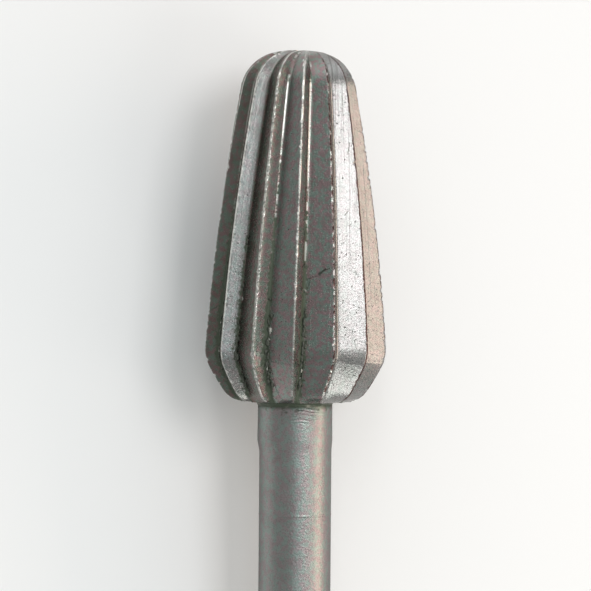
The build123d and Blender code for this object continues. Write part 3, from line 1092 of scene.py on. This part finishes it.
# %% Grain, marks and pits of the head
SPECK_EDGES = (0.50, 0.64)  # of the noise, where a speck starts and where it is full
LINE_AMOUNT = (0.62, 0.12)  # at the front and at the back of the head
SPECK_AMOUNT = (0.22, 0.57)
PIT_SHARE = (0.07, 0.37)
tree, shader, place = new_finish("ground_carbide", head)
grooves = add_node(tree, "UVMap", {}, "UV", uv_map="across_along")
behind, root_mask = kept(tree, "behind"), kept(tree, "root")
to_back = behind.ramp(1.5, 9.5)
grain, clouds = use(grain_group, place, grains_per_mm=14.0)
lines, marks = use(marks_group, grooves, marks_per_mm=16.0, breaks_per_mm=0.10,
                   scratch_share=0.08)
_, fine_marks = use(marks_group, grooves, marks_per_mm=24.0, breaks_per_mm=0.22,
                    scratch_share=0.20)
hatch = fine_marks * kept(tree, "lined") * to_back.between(*LINE_AMOUNT)
pits = use(pits_group, place, pits_per_mm=13.0, share=to_back.between(*PIT_SHARE), size=0.36)
specks, _ = use(grain_group, place, grains_per_mm=24.0)
speck = specks.ramp(*SPECK_EDGES) * to_back.between(*SPECK_AMOUNT)
print("grain, marks and pits:", len(tree.nodes), "nodes")

# %% Film, grime and painted shade of the head
FILM_AND_SHADE_AMOUNT = (0.7, 1.0)  # outside and inside its patches
GRIME_AND_SHADE_NARROWNESS = (2.2, 1.0)  # at the front and at the back of the head
GRIME_AND_SHADE_AMOUNT = (0.30, 1.25)
patch = use(stain_group, place, patches_per_mm=1.6, amount=0.55)
# The film: a brown film, and painted shade on faces turned away from the lamps.
film_and_shade = kept(tree, "film_and_shade") * patch.between(*FILM_AND_SHADE_AMOUNT)
# Grime in the roots, with painted shade: the roots are darkened more towards the back.
grime_and_shade = use(stain_group, place, patches_per_mm=7.0, amount=(
    root_mask ** to_back.between(*GRIME_AND_SHADE_NARROWNESS) * to_back.between(*GRIME_AND_SHADE_AMOUNT)
    * kept(tree, "root_shade_and_dirt").ramp(0.0, 0.4)))
print("film and grime:", len(tree.nodes), "nodes")

# %% Painted highlights in the roots and on the crests
DASH_AMOUNT = 0.7  # of the painted root highlight, in dashes behind its end
BEAD_AMOUNT = (0.22, 1.0)  # between and on the beads of a crest's painted highlight
_, dashes = use(marks_group, grooves, marks_per_mm=0.3, breaks_per_mm=1.7,
                scratch_share=0.22)
root_highlight_left = kept(tree, "root_highlight_end") - behind
to_front = root_highlight_left.ramp(0.0, 0.9) * behind.ramp(1.06, 1.22)
dash = dashes * root_highlight_left.ramp(-3.5, -1.5) * DASH_AMOUNT
# painted highlight in the rounded roots
root_highlight_line = root_mask.ramp(0.72, 0.90) * to_front.or_more(dash) * kept(tree, "painted_root_highlight")
beads = use(stain_group, place, patches_per_mm=7.0, amount=0.62)
# painted highlight in beads along the crests, faint near the tip and fading towards the back
painted_crest_highlight = (kept(tree, "painted_crest_highlight") * beads.between(*BEAD_AMOUNT)
                * (behind.ramp(0.35, 1.25) - behind.ramp(7.0, 11.0)))
crest_stain = use(stain_group, place, patches_per_mm=4.5, amount=kept(tree, "dark_crest"))
print("roots and crests:", len(tree.nodes), "nodes")

# %% Scratches of the head
SCRATCHES = (  # tooth, start and end in mm across and along it, width
    (7, (0.46, 8.43), (0.74, 8.30), 0.022),
    (7, (0.70, 8.31), (1.02, 8.24), 0.016),
    (7, (0.97, 8.20), (1.16, 8.06), 0.050),
    (7, (1.10, 8.12), (1.30, 8.02), 0.018),
    (7, (0.60, 8.70), (0.70, 8.36), 0.014),
    (4, (0.03, 9.46), (0.30, 9.32), 0.014),
    (8, (0.95, 4.30), (1.02, 3.95), 0.020),
    (8, (0.80, 6.30), (0.92, 6.18), 0.018),
    (0, (0.60, 6.00), (1.10, 5.60), 0.018),
    (11, (0.50, 9.10), (1.10, 9.40), 0.020),
)
scratched = 0.0
for tooth, start, end, width in SCRATCHES:
    start, end = [(x + tooth * MAP_SHIFT[0], y + tooth * MAP_SHIFT[1], 0.0)
                  for x, y in (start, end)]
    scratched = use(scratch_group, grooves, start=start, end=end,
                    width=width).or_more(scratched)
print("scratches:", len(SCRATCHES))

# %% Finish of the head
CARBIDE = (0.310, 0.305, 0.303)
CARBIDE_DEEP = (0.275, 0.276, 0.268)
# The film colour, also the colour of painted shade in the roots and on faces turned away from the
# lamps.
FILM_AND_SHADE = (0.120, 0.108, 0.088)
# Colour of grime, also used for painted shade in the roots and under the head.
GRIME_AND_SHADE = (0.055, 0.072, 0.046)
PIT_DARK = (0.075, 0.068, 0.066)
SPECK_DARK = (0.13, 0.125, 0.12)
SCRATCH_DARK = (0.062, 0.068, 0.055)
CREST_DARK = (0.070, 0.040, 0.036)
FRESH = (0.55, 0.545, 0.52)
# colour of the painted highlight in the roots
ROOT_HIGHLIGHT_COLOUR = (0.58, 0.585, 0.56)
# colour of the painted highlight along the crests
CREST_HIGHLIGHT_COLOUR = (0.74, 0.735, 0.68)
tint = use(tint_group, place, patches_per_mm=6.0, amount=kept(tree, "tinted"))
tone = mix(clouds.ramp(0.38, 0.66), CARBIDE, CARBIDE_DEEP)
tone = layered(tone, (
    (speck.or_more(hatch), SPECK_DARK),
    # painted shade darkening the roots, in the film colour
    (root_mask * kept(tree, "root_shade_and_dirt"), FILM_AND_SHADE),
    # film, and painted shade on faces turned away from the lamps
    (film_and_shade, FILM_AND_SHADE),
))
tone = layered(tinted(tone, tint), (
    (marks * 0.35, PIT_DARK),
    (pits * 0.85, PIT_DARK),
    (kept(tree, "chip") * 0.8, FRESH),
    # painted highlight along the crests
    (painted_crest_highlight, CREST_HIGHLIGHT_COLOUR),
    (crest_stain, CREST_DARK),
    # grime and painted shade in the roots
    (grime_and_shade, GRIME_AND_SHADE),
    (scratched * 0.9, SCRATCH_DARK),
    # painted highlight in the roots
    (root_highlight_line, ROOT_HIGHLIGHT_COLOUR),
))
# The grime with its painted shade, and the pits, make the metal less metallic and rougher.
dirt_and_shade = grime_and_shade.or_more(pits * 0.5)
feed(shader["Base Color"], tone)
feed(shader["Metallic"], 1.0 - dirt_and_shade * 0.7)
feed(shader["Roughness"], grain * 0.08 + 0.22 + dirt_and_shade * 0.30)
feed(shader["Normal"], bumped(grain * 0.0085 + lines * 0.0035 - pits * 0.0060
                              - marks * 0.0030))
print("finish of the head:", len(tree.nodes), "nodes")

# %% [markdown]
# ## Shank steel
# The shank is plain turned steel, dull from handling. The same grain as on the head gives it
# its speckle, fine rings run round it, and there are a few nicks. A ring texture of its own
# isn't needed: marks that are given only the place along the axis close round the shank.

# %% Finish of the shank
STEEL = (0.318, 0.326, 0.320)
STEEL_DULL = (0.292, 0.294, 0.288)
STEEL_GLANCE = (0.55, 0.55, 0.55)  # dull steel stays dark at a glancing view
tree, shader, place = new_finish("shank_steel", shank)
behind = kept(tree, "behind")
rings, _ = use(marks_group, add_node(tree, "CombineXYZ", {"X": behind}), marks_per_mm=9.0,
               breaks_per_mm=0.0, scratch_share=0.0)
grain, clouds = use(grain_group, place, grains_per_mm=15.0)
specks, _ = use(grain_group, place, grains_per_mm=24.0)
nicks = use(pits_group, place, pits_per_mm=2.6, share=0.30, size=0.13)
dots = use(pits_group, place, pits_per_mm=1.5, share=0.16, size=0.085)
heated = 1.0 - behind.ramp(neck_top + 0.1, neck_top + 0.7)
burnt = use(stain_group, place, patches_per_mm=5.0, amount=heated * 0.5)
# Painted shade on the neck right under the head's heel, in the grime colour.
shade_under_head = 1.0 - behind.ramp(neck_top + 0.02, neck_top + 0.20)
tint = use(tint_group, place, patches_per_mm=5.5, amount=0.6)
tone = mix(clouds.ramp(0.30, 0.70), STEEL, STEEL_DULL)
feed(shader["Base Color"], layered(tinted(tone, tint), (
    (specks.ramp(*SPECK_EDGES) * 0.35, SPECK_DARK),
    (shade_under_head * 0.8, GRIME_AND_SHADE),
    (burnt * 0.7, GRIME_AND_SHADE),
    (dots, FRESH),
)))
feed(shader["Metallic"], 1.0)
feed(shader["Specular Tint"], STEEL_GLANCE)
feed(shader["Roughness"], grain * 0.10 + 0.31)
feed(shader["Normal"], bumped(grain * 0.0100 + rings * 0.0030 - nicks * 0.0120))
print("finish of the shank:", len(tree.nodes), "nodes")

# %% [markdown]
# ## Braze and swarf
# The braze is a dull silvery metal with flux burnt on it; its dark tone and wide flux patches
# also paint the shade under the head's heel. The swarf is mostly dark, with a few bits that are
# bright metal. Two materials would do for the bits, but a value that is kept for each of them
# needs only one.

# %% Finish of the braze
# Dark braze tones, which also paint the shade under the head's heel.
BRAZE_AND_SHADE = (0.20, 0.195, 0.165)
BRAZE_AND_SHADE_DEEP = (0.15, 0.15, 0.125)
tree, shader, place = new_finish("dull_braze_and_shade", braze)
grain, clouds = use(grain_group, place, grains_per_mm=9.0)
# Burnt flux, with wide patches that also paint the shade under the heel.
flux_and_shade = use(stain_group, place, patches_per_mm=3.0, amount=0.75)
tone = mix(clouds.ramp(0.35, 0.65), BRAZE_AND_SHADE, BRAZE_AND_SHADE_DEEP)
feed(shader["Base Color"], mix(flux_and_shade, tone, GRIME_AND_SHADE))
feed(shader["Metallic"], 1.0 - flux_and_shade * 0.6)
feed(shader["Roughness"], grain * 0.2 + 0.40)
feed(shader["Normal"], bumped(grain * 0.01))
print("finish of the braze:", len(tree.nodes), "nodes")

# %% Finish of the swarf
SWARF_DARK = (0.045, 0.055, 0.040)
SWARF_LIGHT = (0.50, 0.50, 0.46)
SWARF_SPECK = (0.12, 0.11, 0.09)
tree, shader, place = new_finish("swarf", swarf)
grain, _ = use(grain_group, place, grains_per_mm=20.0)
light_bit = kept(tree, "tone").ramp(0.90, 0.96)
feed(shader["Base Color"], mix(grain.ramp(0.45, 0.60) * 0.5,
                               mix(light_bit, SWARF_DARK, SWARF_LIGHT), SWARF_SPECK))
feed(shader["Metallic"], light_bit * 0.8)
feed(shader["Roughness"], grain * 0.3 + 0.35)
print("materials:", sorted(material.name for material in bpy.data.materials))

# %% View transform, and done
bpy.context.scene.view_settings.view_transform = "Standard"
bpy.context.view_layer.update()
